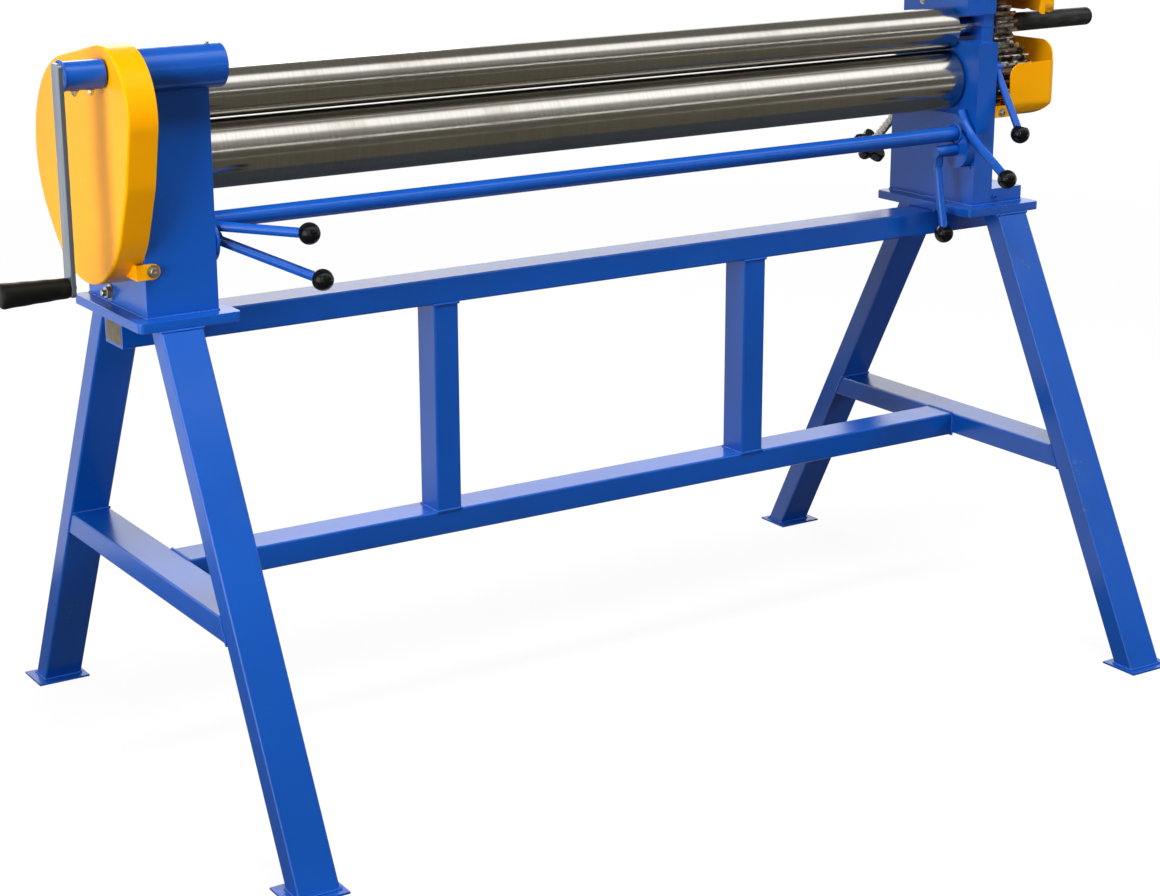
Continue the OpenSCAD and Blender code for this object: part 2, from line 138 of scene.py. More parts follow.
class Finish:
    """A material being made: one Principled surface and what feeds it."""

    def __init__(self, name, **constants):
        self.material = bpy.data.materials.new(name)
        self.material.use_nodes = True
        self.tree = self.material.node_tree
        self.surface = next(n for n in self.tree.nodes if n.type == "BSDF_PRINCIPLED")
        for socket, value in constants.items():
            socket = socket.replace("_", " ")
            value = (*value, 1.0) if isinstance(value, (tuple, list)) and len(value) == 3 else value
            self.surface.inputs[socket].default_value = value

    def node(self, kind, settings=None, inputs=None, out=0):
        made = self.tree.nodes.new(kind)
        for key, value in (settings or {}).items():
            setattr(made, key, value)
        for key, value in (inputs or {}).items():
            socket = made.inputs[key]
            if isinstance(value, Wire):
                self.tree.links.new(value.socket, socket)
            elif isinstance(value, (tuple, list)) and len(value) == 3 and socket.type == "RGBA":
                socket.default_value = (*value, 1.0)
            else:
                socket.default_value = value
        return Wire(self, made.outputs[out])

    def place(self, scale=(1, 1, 1)):
        spot = self.node("ShaderNodeTexCoord", out="Object")
        return self.node("ShaderNodeMapping", {}, {"Vector": spot, "Scale": scale})

    def noise(self, scale, detail=3.0, rough=0.5, at=None):
        values = {"Vector": at or self.place(), "Scale": scale, "Detail": detail, "Roughness": rough}
        return self.node("ShaderNodeTexNoise", {}, values)

    def mix(self, factor, a, b):
        """Blend of two colours, whose sockets on a Mix node come after those for numbers and vectors."""
        first, second, blend = 6, 7, 2
        return self.node("ShaderNodeMix", {"data_type": "RGBA"}, {0: factor, first: a, second: b}, out=blend)

    def feed(self, socket, wire):
        self.tree.links.new(wire.socket, self.surface.inputs[socket])

    def bump(self, height, strength, distance):
        values = {"Height": height, "Strength": strength, "Distance": distance}
        self.feed("Normal", self.node("ShaderNodeBump", {}, values))


def tint(colour, gain):
    return tuple(min(1.0, c*gain) for c in colour)


def enamel(name, colour, dusty, wear, shine=0.45):
    """Glossy machine paint with a faint orange peel, flow marks and handling smudges."""
    f = Finish(name, Specular_IOR_Level=shine)
    cloud = f.noise(3.0)
    specks = f.noise(90.0, 2.0, 0.7)
    grime = f.noise(9.0, 6.0, 0.65).ramp(0.54, 0.76)
    body = f.mix(cloud.ramp(0.3, 0.7), tint(colour, 0.92), tint(colour, 1.08))
    body = f.mix(grime*wear, body, dusty)
    f.feed("Base Color", body)
    f.feed("Roughness", 0.21 + grime*0.05 + specks*0.05)
    f.bump(f.noise(330.0, 2.0, 0.4)*0.7 + specks*0.3, strength=0.08, distance=0.0005)
    return f.material


def rubbed_arm(name):
    """Flat bar of the crank in blue-grey metal, a colour that paints the sheen on its blue enamel, with
    darker rubbed streaks along it.
    """
    f = Finish(name, Metallic=0.85, Specular_IOR_Level=0.6)
    cloud = f.noise(7.0, 4.0)
    rubs = f.noise(1.0, 4.0, 0.6, at=f.place(scale=(90, 90, 7))).ramp(0.45, 0.75)
    # the blue-grey metal colour is a painted sheen; the bar's own paint is blue enamel
    body = f.mix(cloud.ramp(0.3, 0.7), (0.24, 0.28, 0.34), (0.28, 0.32, 0.37))
    f.feed("Base Color", f.mix(rubs*0.35, body, (0.16, 0.20, 0.27)))
    f.feed("Roughness", 0.30 + rubs*0.10)
    f.bump(f.noise(330.0, 2.0, 0.4), strength=0.08, distance=0.0005)
    return f.material


def ground_steel(name, colour):
    """Bright turned steel: hair-fine rings round the axis, light stains, and faint darker streaks along the
    axis that paint in reflected bands.
    """
    f = Finish(name, Metallic=1.0)
    rings = f.noise(1.0, 2.0, 0.5, at=f.place(scale=(260, 2, 2)))
    axial_streaks = f.noise(1.0, 2.0, 0.5, at=f.place(scale=(2.2, 40, 40)))
    stain = f.noise(6.0, 6.0, 0.62).ramp(0.50, 0.74)
    tone = f.mix(rings.ramp(0.35, 0.65), tint(colour, 0.96), tint(colour, 1.04))
    # darker streaks along the axis are painted reflection bands
    tone = f.mix(axial_streaks.ramp(0.4, 0.7)*0.25, tone, tint(colour, 0.80))
    tone = f.mix(stain*0.30, tone, (0.20, 0.17, 0.12))
    f.feed("Base Color", tone)
    f.feed("Roughness", 0.15 + rings*0.03 + stain*0.06)
    f.bump(rings, strength=0.02, distance=0.0001)
    return f.material


def oiled_steel(name, colour):
    """Machined steel with old grease in patches."""
    f = Finish(name, Metallic=0.9)
    grease = f.noise(55.0, 6.0, 0.65).ramp(0.44, 0.60)
    f.feed("Base Color", f.mix(grease, colour, (0.030, 0.024, 0.018)))
    f.feed("Roughness", 0.24 + grease*0.30)
    f.bump(f.noise(240.0, 2.0), strength=0.12, distance=0.0004)
    return f.material


def plated(name, colour):
    """Passivated zinc on screws, bolts and washers."""
    f = Finish(name, Metallic=1.0)
    cloud = f.noise(150.0)
    f.feed("Base Color", f.mix(cloud.ramp(0.3, 0.7), tint(colour, 0.8), colour))
    f.feed("Roughness", 0.28 + cloud*0.16)
    return f.material


def phenolic(name):
    """Polished black ball and star knobs."""
    f = Finish(name, Specular_IOR_Level=0.22)
    haze = f.noise(60.0, 4.0).ramp(0.45, 0.75)
    f.feed("Base Color", f.mix(haze*0.3, (0.003, 0.003, 0.004), (0.014, 0.014, 0.016)))
    f.feed("Roughness", 0.14 + haze*0.12)
    return f.material


def black_bar(name):
    """Blackened bar with faint hot-rolled scale and rubbed patches."""
    f = Finish(name, Specular_IOR_Level=0.16)
    scale = f.noise(30.0, 4.0, 0.6, at=f.place(scale=(1, 3, 3))).ramp(0.42, 0.72)
    f.feed("Base Color", f.mix(scale, (0.012, 0.015, 0.014), (0.035, 0.034, 0.030)))
    f.feed("Roughness", 0.34 + scale*0.2)
    f.bump(f.noise(160.0), strength=0.15, distance=0.0005)
    return f.material


def rubber(name):
    """Black rubber of the crank's grip."""
    f = Finish(name, Specular_IOR_Level=0.12)
    dust = f.noise(45.0, 5.0).ramp(0.45, 0.75)
    f.feed("Base Color", f.mix(dust*0.4, (0.005, 0.005, 0.004), (0.014, 0.013, 0.011)))
    f.feed("Roughness", 0.42 + dust*0.2)
    f.bump(f.noise(700.0, 2.0), strength=0.2, distance=0.0004)
    return f.material


def plug(name):
    """Warm grey, dusty end of a tube."""
    f = Finish(name, Specular_IOR_Level=0.2, Roughness=0.6)
    cloud = f.noise(60.0, 4.0)
    f.feed("Base Color", f.mix(cloud.ramp(0.3, 0.7), (0.10, 0.088, 0.062), (0.15, 0.135, 0.10)))
    return f.material


FINISHES = {}


def finish(name):
    """The named material, made when it is first asked for."""
    if name not in FINISHES:
        c = bpy.context.scene.roller_colours
        FINISHES[name] = {
            "enamel": lambda: enamel("blue_enamel", tuple(c.enamel), (0.05, 0.11, 0.22), 0.14),
            "safety": lambda: enamel("safety_enamel", tuple(c.safety), (0.70, 0.26, 0.005), 0.12, 0.10),
            "steel": lambda: ground_steel("ground_steel", tuple(c.steel)),
            "gear": lambda: oiled_steel("oiled_steel", tuple(c.gear)),
            "zinc": lambda: plated("zinc_plate", tuple(c.zinc)),
            "phenolic": lambda: phenolic("black_phenolic"),
            "rubber": lambda: rubber("grip_rubber"),
            "black_bar": lambda: black_bar("blackened_bar"),
            "plug": lambda: plug("tube_plug"),
            # the arm's blue-grey metal finish is a painted sheen on blue enamel
            "arm": lambda: rubbed_arm("rubbed_arm"),
        }[name]()
    return FINISHES[name]


# ---- mesh helpers

def evened(mesh):
    """The mesh with its shading weighted by face size, so that flat faces look flat."""
    holder = added("shading_seed", mesh)
    holder.modifiers.new("weigh", "WEIGHTED_NORMAL").keep_sharp = True
    graph = bpy.context.evaluated_depsgraph_get()
    made = bpy.data.meshes.new_from_object(holder.evaluated_get(graph), preserve_all_data_layers=True,
                                           depsgraph=graph)
    bpy.data.objects.remove(holder)
    bpy.data.meshes.remove(mesh)
    return made


def settle(name, shape, body, look, replaces=(), smooth=30, even=True):
    """Makes the object of a finished mesh or bmesh, puts it on its body and hides the nodes that it replaces.
    """
    mesh = from_bmesh(shape) if isinstance(shape, bmesh.types.BMesh) else shape
    mesh.materials.clear()
    mesh.materials.append(finish(look))
    for polygon in mesh.polygons:
        polygon.use_smooth = True
        polygon.material_index = 0
    mesh.set_sharp_from_angle(angle=math.radians(smooth))
    if even:
        mesh = evened(mesh)
    mesh.name = name
    piece = added(name, mesh)
    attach(piece, body)
    if replaces:
        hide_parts(*replaces)
    return piece


def dress(node, ending, shape, look, smooth=30):
    """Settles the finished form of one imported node, on that node's own body."""
    return settle(node + ending, shape, BODY_OF[node], look, [node], smooth)


def from_bmesh(bm):
    """A plain mesh of a finished bmesh, its faces pointing outwards."""
    bmesh.ops.recalc_face_normals(bm, faces=bm.faces)
    mesh = bpy.data.meshes.new("piece")
    bm.to_mesh(mesh)
    bm.free()
    return mesh


def closed_copy(node):
    """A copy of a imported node's mesh with its points merged."""
    bm = bmesh.new()
    bm.from_mesh(frame["nodes"][node].data)
    bmesh.ops.remove_doubles(bm, verts=bm.verts, dist=PACKED_MERGE)
    return bm


def merged(node):
    """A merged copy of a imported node's mesh, with its flat faces whole."""
    bm = closed_copy(node)
    bmesh.ops.dissolve_limit(bm, angle_limit=math.radians(0.4), verts=bm.verts, edges=bm.edges)
    return bm


def soften(bm, edges, width, segments=2, clamp=False):
    """Rounds the given edges."""
    bmesh.ops.bevel(bm, geom=edges, offset=width, segments=segments, profile=0.5, affect="EDGES",
                    clamp_overlap=clamp)


def mid_yz(low, high):
    """Depth and height of a box's middle."""
    return (low[1] + high[1])/2, (low[2] + high[2])/2


def barrel(node):
    """Start, length and radius of a round node that lies along X."""
    low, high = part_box(node)
    return (low[0], *mid_yz(low, high)), high[0] - low[0], (high[2] - low[2])/2


def rod_profile(length, radius, edge=0.001):
    """Profile of a plain rod with turned edges."""
    neck = radius - edge
    return [(0, 0), (0, neck), (edge, radius), (length - edge, radius), (length, neck), (length, 0)]


def ring_points(centre, along, radius, count=28):
    """Points of a circle round an axis."""
    side = Vector(along).normalized().orthogonal().normalized()
    up = Vector(along).normalized().cross(side)
    angles = (2*math.pi*k/count for k in range(count))
    return [Vector(centre) + (side*math.cos(a) + up*math.sin(a))*radius for a in angles]


def skinned(rings, segments):
    """A closed solid over rings of points, where a ring of one point is a pole."""
    bm = bmesh.new()
    rings = [[bm.verts.new(point) for point in ring] for ring in rings]
    for a, b in zip(rings, rings[1:]):
        for k in range(segments):
            n = (k + 1) % segments
            quad = [a[k % len(a)], a[n % len(a)], b[n % len(b)], b[k % len(b)]]
            quad = [v for i, v in enumerate(quad) if v not in quad[:i]]
            if len(quad) > 2:
                bm.faces.new(quad)
    for ring in (rings[0][::-1], rings[-1]):
        if len(ring) > 1:
            bm.faces.new(ring)
    return bm


def turned(profile, start, along, segments=64):
    """A lathe-turned solid: profile is (distance along the axis, radius) from end to end."""
    along = Vector(along).normalized()
    rings = []
    for s, r in profile:
        centre = Vector(start) + along*s
        rings.append([centre] if r <= 1e-7 else ring_points(centre, along, r, segments))
    return skinned(rings, segments)


def join(*parts):
    """Several solids as one mesh."""
    whole = bmesh.new()
    for part in parts:
        mesh = from_bmesh(part)
        whole.from_mesh(mesh)
        bpy.data.meshes.remove(mesh)
    return whole


def edge_filter(bm, wanted):
    """The edges between two faces that are wanted."""
    return [e for e in bm.edges if len(e.link_faces) == 2 and wanted(e)]


def outer_edges(bm, shortest, angle):
    """Outward edges longer than a length, whose faces turn by more than an angle."""
    return edge_filter(bm, lambda e: e.calc_length() > shortest and e.is_convex
                       and e.calc_face_angle() > angle)


def node_points(node):
    """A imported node's points, one row each."""
    data = frame["nodes"][node].data
    points = np.empty(len(data.vertices)*3)
    data.vertices.foreach_get("co", points)
    return points.reshape(-1, 3)


def section(node, z, reach=0.0006):
    """Lowest and highest corner of a node's points that lie at one height."""
    points = node_points(node)
    near = points[np.abs(points[:, 2] - z) < reach]
    return Vector(near.min(axis=0)), Vector(near.max(axis=0))


def ball_of(node):
    """Centre and radius of the sphere that a ball's points lie on."""
    p = node_points(node)
    low, high = Vector(p.min(axis=0)), Vector(p.max(axis=0))
    mid = np.array((low + high)/2)
    far = np.linalg.norm(p - mid, axis=1)
    p = p[far > far.max()*0.9]              # leaves out the flat where the lever goes in
    terms = np.hstack([2*p, np.ones((len(p), 1))])
    fitted = np.linalg.lstsq(terms, (p*p).sum(axis=1), rcond=None)[0]
    centre = Vector(fitted[:3])
    return centre, math.sqrt(fitted[3] + centre.length_squared)


# ---- geometry node trees

class Sockets:
    """A Geometry Nodes tree being made, with named inputs. One without a default takes an object."""

    def __init__(self, name, inputs):
        self.tree = bpy.data.node_groups.new(name, "GeometryNodeTree")
        face = self.tree.interface
        face.new_socket("Geometry", in_out="INPUT", socket_type="NodeSocketGeometry")
        kinds = {float: "NodeSocketFloat", int: "NodeSocketInt", type(None): "NodeSocketObject"}
        for label, default in inputs.items():
            socket = face.new_socket(label, in_out="INPUT", socket_type=kinds[type(default)])
            socket.default_value = default
        face.new_socket("Geometry", in_out="OUTPUT", socket_type="NodeSocketGeometry")
        self.start = self.tree.nodes.new("NodeGroupInput")
        self.end = self.tree.nodes.new("NodeGroupOutput")

    def given(self, label):
        """The tree's own input of that name."""
        return self.start.outputs[label]

    def add(self, kind, inputs=None, **settings):
        made = self.tree.nodes.new(kind)
        for key, value in settings.items():
            setattr(made, key, value)
        for key, value in (inputs or {}).items():
            socket = made.inputs[key]
            if isinstance(value, bpy.types.NodeSocket):
                self.tree.links.new(value, socket)
            else:
                socket.default_value = value
        return made

    def copies(self, points, shape, turn, size, material):
        """Ends the tree with one turned and scaled copy of a shape on each point."""
        made = self.add("GeometryNodeInstanceOnPoints", {
            "Points": points, "Instance": shape, "Rotation": turn.outputs[0], "Scale": size.outputs[0]})
        return self.close(made.outputs[0], material)

    def close(self, geometry, material):
        real = self.add("GeometryNodeRealizeInstances", {"Geometry": geometry})
        dress = self.add("GeometryNodeSetMaterial", {"Geometry": real.outputs[0], "Material": material})
        self.tree.links.new(dress.outputs[0], self.end.inputs[0])
        return self.tree


def grown(name, mesh, tree, values):
    """The plain mesh that a tree makes from a starting mesh."""
    holder = added(name + "_seed", mesh)
    modifier = holder.modifiers.new("grow", "NODES")
    modifier.node_group = tree
    for item in tree.interface.items_tree:
        if item.in_out == "INPUT" and item.name in values:
            modifier[item.identifier] = values[item.name]
    graph = bpy.context.evaluated_depsgraph_get()
    made = bpy.data.meshes.new_from_object(holder.evaluated_get(graph))
    bpy.data.objects.remove(holder)
    return made


def weld_tree(material):
    """Overlapping ripples along every edge line of the seed mesh."""
    t = Sockets("weld_ripples", {"Radius": 0.0026, "Pitch": 0.0032, "Seed": 7})
    line = t.add("GeometryNodeMeshToCurve", {"Mesh": t.given("Geometry")})
    steps = t.add("GeometryNodeResampleCurve", {"Curve": line.outputs[0], "Length": t.given("Pitch")},
                  mode="LENGTH")
    tangent = t.add("GeometryNodeInputTangent")
    turn = t.add("FunctionNodeAlignRotationToVector", {"Vector": tangent.outputs[0]}, axis="Z")
    ripple = t.add("GeometryNodeMeshUVSphere", {"Segments": 8, "Rings": 5, "Radius": t.given("Radius")})
    swell = t.add("FunctionNodeRandomValue", {"Min": 0.86, "Max": 1.12, "Seed": t.given("Seed")},
                  data_type="FLOAT")
    width = swell.outputs[1]                # the output for numbers
    size = t.add("ShaderNodeCombineXYZ", {"X": width, "Y": width, "Z": 0.95})
    return t.copies(steps.outputs[0], ripple.outputs[0], turn, size, material)


def line_mesh(loops):
    """Edge lines for a tree: each loop is (points, closed)."""
    bm = bmesh.new()
    for points, closed in loops:
        verts = [bm.verts.new(p) for p in points]
        for a, b in zip(verts, verts[1:]):
            bm.edges.new((a, b))
        if closed:
            bm.edges.new((verts[-1], verts[0]))
    mesh = bpy.data.meshes.new("lines")
    bm.to_mesh(mesh)
    bm.free()
    return mesh


def weld(name, body, loops):
    """Weld beads along the given lines, as one piece."""
    s = sizes()
    values = {"Radius": s.bead_radius, "Pitch": s.bead_pitch, "Seed": len(name)}
    mesh = grown(name, line_mesh(loops), weld_tree(finish("enamel")), values)
    return settle(name, mesh, body, "enamel", smooth=80, even=False)


def level_loop(low, high, z):
    """A closed level rectangle."""
    return [(low[0], low[1], z), (high[0], low[1], z), (high[0], high[1], z), (low[0], high[1], z)], True


def fastener_tree(material):
    """One copy of a screw on each point, turned along the point's axis."""
    t = Sockets("screws_on_points", {"Screw": None})
    axis = t.add("GeometryNodeInputNamedAttribute", {"Name": "axis"}, data_type="FLOAT_VECTOR")
    size = t.add("GeometryNodeInputNamedAttribute", {"Name": "size"}, data_type="FLOAT")
    turn = t.add("FunctionNodeAlignRotationToVector", {"Vector": axis.outputs[0]}, axis="Z")
    screw = t.add("GeometryNodeObjectInfo", {"Object": t.given("Screw")})
    return t.copies(t.given("Geometry"), screw.outputs["Geometry"], turn, size, material)


def screw_head(kind):
    """A 10 mm wide socket head, or a nut with its stud, each on a washer, with its seat at z = 0."""
    seat = (0, 0, 0)
    if kind == "socket":
        return turned([(0, 0.0082), (0.0012, 0.0082), (0.0012, 0.0050), (0.0056, 0.0050), (0.0062, 0.0045),
                       (0.0062, 0.0027), (0.0030, 0.0027), (0.0030, 0)], seat, Z, 24)
    nut = turned([(0, 0.0068), (0.0011, 0.0068), (0.0011, 0.0052), (0.0050, 0.0052), (0.0056, 0.0046),
                  (0.0056, 0)], seat, Z, 6)
    washer = turned([(-0.0001, 0.0072), (0.0012, 0.0072), (0.0012, 0.0040), (-0.0001, 0.0040)], seat, Z, 24)
    stud = turned([(0, 0.0025), (0.0082, 0.0025), (0.0088, 0.0020), (0.0088, 0)], seat, Z, 16)
    return join(nut, washer, stud)


def fasten(name, body, kind, places, look="zinc"):
    """Screws of one kind on one body: places are (point, axis, size factor)."""
    seed = bpy.data.meshes.new("points")
    seed.from_pydata([point for point, _, _ in places], [], [])
    seed.attributes.new("axis", "FLOAT_VECTOR", "POINT")
    seed.attributes.new("size", "FLOAT", "POINT")
    for k, (_, axis, size) in enumerate(places):
        seed.attributes["axis"].data[k].vector = Vector(axis).normalized()
        seed.attributes["size"].data[k].value = size
    master = added(name + "_master", from_bmesh(screw_head(kind)))
    mesh = grown(name, seed, fastener_tree(finish(look)), {"Screw": master})
    bpy.data.objects.remove(master)
    return settle(name, mesh, body, look, smooth=35)


def thread_tree(material):
    """A right-hand V thread wound round the line from the origin along +Z."""
    t = Sockets("screw_thread", {"Turns": 20.0, "Length": 0.1, "Radius": 0.009, "Depth": 0.001})
    radius = t.given("Radius")
    coil = t.add("GeometryNodeCurveSpiral", {"Resolution": 18, "Rotations": t.given("Turns"),
                                             "Start Radius": radius, "End Radius": radius,
                                             "Height": t.given("Length"), "Reverse": True})
    wire = t.add("GeometryNodeCurvePrimitiveCircle", {"Resolution": 4, "Radius": t.given("Depth")})
    made = t.add("GeometryNodeCurveToMesh", {"Curve": coil.outputs[0], "Profile Curve": wire.outputs[0],
                                             "Fill Caps": True})
    return t.close(made.outputs[0], material)


# ---- operators

class ROLLER_OT_tubes(bpy.types.Operator):
    """Round-cornered tubes of the stand's legs, braces, rails and posts"""
    bl_idname = "roller.tubes"
    bl_label = "Stand tubes"

    def execute(self, context):
        tubes = ("leg_", "cross_brace_", "post_")
        for node in [n for n in frame["nodes"] if n.startswith(tubes) or n.endswith("_rail")]:
            dress(node, "_tube", self.tube(node), "enamel", smooth=38)
        low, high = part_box("upper_rail")
        thick, inset = 0.0008, 0.009
        for side, x in (("left", low[0]), ("right", high[0])):
            bm = bmesh.new()
            bmesh.ops.create_cube(bm, size=1.0)
            size = Matrix.Diagonal((thick, high[1] - low[1] - inset, high[2] - low[2] - inset, 1))
            bmesh.ops.transform(bm, verts=bm.verts, matrix=Matrix.Translation((x, *mid_yz(low, high))) @ size)
            settle("rail_plug_" + side, bm, "stand", "plug")
        return {"FINISHED"}

    def tube(self, node):
        """The closed outside of a tube, with its long edges rounded."""
        bm = closed_copy(node)
        hull = bmesh.ops.convex_hull(bm, input=bm.verts)
        spare = hull["geom_interior"] + hull["geom_unused"] + hull["geom_holes"]
        bmesh.ops.delete(bm, geom=[g for g in spare if isinstance(g, bmesh.types.BMVert)], context="VERTS")
        kept = set(bmesh.ops.convex_hull(bm, input=bm.verts)["geom"])
        bmesh.ops.delete(bm, geom=[f for f in bm.faces if f not in kept], context="FACES")
        bmesh.ops.dissolve_limit(bm, angle_limit=math.radians(1), verts=bm.verts, edges=bm.edges)
        longest = max(e.calc_length() for e in bm.edges)
        soften(bm, edge_filter(bm, lambda e: e.calc_length() > 0.55*longest), sizes().tube_radius, segments=4)
        return bm


class ROLLER_OT_plates(bpy.types.Operator):
    """Plates, columns, yoke and crank arm with broken edges"""
    bl_idname = "roller.plates"
    bl_label = "Plates and columns"

    def execute(self, context):
        edge = sizes().plate_edge
        # the nodes, the width of their broken edges, and the length above which an edge is broken
        for nodes, width, shortest in (
                ([n for n in frame["nodes"] if n.startswith("foot_plate_")], 0.0006, 0.02),
                (("base_plate_left", "base_plate_right", "crank_arm"), edge*1.3, 0.0),
                (("column_left", "column_right", "yoke"), edge, 0.012)):
            for node in nodes:
                bm = merged(node)
                soften(bm, outer_edges(bm, shortest, math.radians(50)), width, clamp=shortest > 0)
                piece = dress(node, "_plate", bm, "enamel", smooth=32)
                if node == "crank_arm":
                    self.sheen_bar(piece.data)
        return {"FINISHED"}

    def sheen_bar(self, mesh):
        """The arm's flat bar gets a blue-grey metal colour that paints the sheen on its enamel, and its boss
        stays blue.
        """
        below_boss, slack = 1.0, 0.0004
        inner = max(v.co.x for v in mesh.vertices if v.co.z < below_boss)
        # the bar's finish paints sheen on blue enamel in blue-grey metal
        mesh.materials.append(finish("arm"))
        for face in mesh.polygons:
            face.material_index = int(face.center.x < inner + slack)


class ROLLER_OT_guards(bpy.types.Operator):
    """Pressed drive guard and the two gear guards"""
    bl_idname = "roller.guards"
    bl_label = "Guards"

    def execute(self, context):
        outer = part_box("drive_guard")[0][0]
        y, z = mid_yz(*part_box("crank_bearing_tube"))
        reach = 0.02                        # half width of the square in which the shaft's hole lies

        def on_rim(e):
            on_face = all(abs(v.co.x - outer) < 1e-5 for v in e.verts)
            at_hole = all(abs(v.co.y - y) < reach and abs(v.co.z - z) < reach for v in e.verts)
            return on_face and not at_hole and e.calc_face_angle() > CORNER

        bm = merged("drive_guard")
        soften(bm, edge_filter(bm, on_rim), sizes().guard_edge, segments=4)
        dress("drive_guard", "_shell", bm, "safety", smooth=24)
        for node in ("gear_guard_lower", "gear_guard_upper"):
            bm = merged(node)
            soften(bm, outer_edges(bm, 0.006, CORNER), 0.0007, clamp=True)
            dress(node, "_shell", bm, "safety")
        return {"FINISHED"}


def roll_profile(node):
    """Profile of a roll with turned chamfers, and its start, from the node's own box and points."""
    points = node_points(node)
    low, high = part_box(node)
    y, z = mid_yz(low, high)
    radius = (high[2] - low[2])/2
    reach = np.hypot(points[:, 1] - y, points[:, 2] - z)
    face = points[reach > radius*0.97][:, 0]
    journal = reach[reach < radius*0.7].max()
    edge, chamfer, collar, rise = 0.0012, 0.0015, 0.004, 0.003

    def half(end, shoulder, way):
        """From a journal's end to the roll's face."""
        step = shoulder - way*collar
        return [(end, 0), (end, journal - edge), (end + way*edge, journal), (step, journal),
                (step, journal + rise), (shoulder, journal + rise), (shoulder, radius - chamfer),
                (shoulder + way*chamfer, radius)]

    profile = half(low[0], float(face.min()), 1) + half(high[0], float(face.max()), -1)[::-1]
    return [(s - low[0], r) for s, r in profile], (low[0], y, z)


class ROLLER_OT_rolls(bpy.types.Operator):
    """Ground steel rolls, their gears and the lifting bar"""
    bl_idname = "roller.rolls"
    bl_label = "Rolls and gears"

    def execute(self, context):
        for node in ("top_roll", "bottom_roll", "rear_roll"):
            profile, start = roll_profile(node)
            dress(node, "_turned", turned(profile, start, X, 96), "steel")
        for node in ("top_roll_gear", "bottom_roll_gear"):
            dress(node, "_cut", merged(node), "gear")
        low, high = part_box("bottom_roll_gear")
        washer = turned([(0, 0), (0, 0.030), (0.005, 0.030), (0.006, 0.029), (0.006, 0.013), (0.012, 0.013),
                         (0.013, 0.012), (0.013, 0)], (high[0] + 0.0001, ROLL_Y, (low[2] + high[2])/2), X, 40)
        settle("bottom_gear_washer", washer, BODY_OF["bottom_roll_gear"], "zinc")
        start, length, r = barrel("lift_bar")
        curve = 0.007                       # radius of the rounded end
        nose = [(length - curve*(1 - math.sin(a)), r - 0.001 - curve*(1 - math.cos(a)))
                for a in (math.pi/2*k/8 for k in range(9))]
        dress("lift_bar", "_turned", turned([(0, 0), (0, r)] + nose + [(length, 0)], start, X), "black_bar")
        return {"FINISHED"}


class ROLLER_OT_crank(bpy.types.Operator):
    """Bearing tube, crank hub details and the ribbed grip"""
    bl_idname = "roller.crank"
    bl_label = "Crank"

    def execute(self, context):
        y, z = self.bearing()
        start, end, _ = barrel("crank_shaft")
        r, point, neck = 0.014, 0.006, end - 0.005
        shaft = [(0, 0), (0, r - 0.0015), (0.0015, r), (neck - 0.001, r), (neck, 0.0128), (neck, point),
                 (end - 0.001, point), (end, point - 0.001), (end, 0)]
        dress("crank_shaft", "_turned", turned(shaft, (start[0], y, z), X, 48), "steel")
        self.grip()
        under_boss, screws = z - 0.0218, (-0.987, -0.962)
        fasten("crank_hub_screws", "crank", "stud", [((x, y, under_boss), -Z, 1.0) for x in screws])
        oiler, slant = (-0.775, y - 0.0065, z + 0.0333), (0, -0.19, 0.98)
        fasten("crank_oil_screw", "stand", "socket", [(oiler, slant, 0.55)])
        bar_face, bead = -1.0075, 0.0222
        weld("crank_hub_weld", "crank", [(ring_points((bar_face, y, z), X, bead), True)])
        return {"FINISHED"}

    def bearing(self):
        """The tube round the shaft, with a rolled edge at its inner end. Gives back the axis (y, z)."""
        start, end, r = barrel("crank_bearing_tube")
        _, y, z = start
        bore = 0.0141
        tube = turned([(0, bore), (0, r), (end - 0.004, r), (end - 0.0015, r - 0.001), (end, r - 0.004),
                       (end, bore)], start, X, 72)
        bmesh.ops.delete(tube, geom=[f for f in tube.faces if len(f.verts) > 4], context="FACES")
        rims = {v for v in tube.verts if abs(math.hypot(v.co.y - y, v.co.z - z) - bore) < 1e-5}
        open_edges = [e for e in tube.edges if e.is_boundary and rims.issuperset(e.verts)]
        bmesh.ops.bridge_loops(tube, edges=open_edges)
        dress("crank_bearing_tube", "_turned", tube, "enamel")
        return y, z

    def grip(self):
        """The grip: a dome at its thick free end, shallow waves, and its pin."""
        start, end, r = barrel("crank_grip")
        body, slim, pin, waves = 0.107, 0.016, 0.006, sizes().grip_ribs
        ribs = []
        for k in range(waves*8 + 1):
            t = k/(waves*8)
            dip = 0.0003 + 0.0005*(0.5 - 0.5*math.cos(2*math.pi*t*waves))
            ribs.append((0.006 + t*(body - 0.009), r + (slim - r)*t - dip))
        dome = [(0, 0), (0, r*0.70), (0.0010, r*0.84), (0.0030, r*0.94)]
        tail = [(body, slim - 0.0010), (body, 0.0075), (body + 0.0005, pin), (end - 0.002, pin),
                (end, pin - 0.0015), (end, 0)]
        dress("crank_grip", "_ribbed", turned(dome + ribs + tail, start, X, 48), "rubber", smooth=40)


LEVER_OF = {"ball_" + kind + side: kind + "_lever" + side
            for kind in ("eccentric", "clamp") for side in ("_left", "_right")} | {"ball_lock": "lock_lever"}


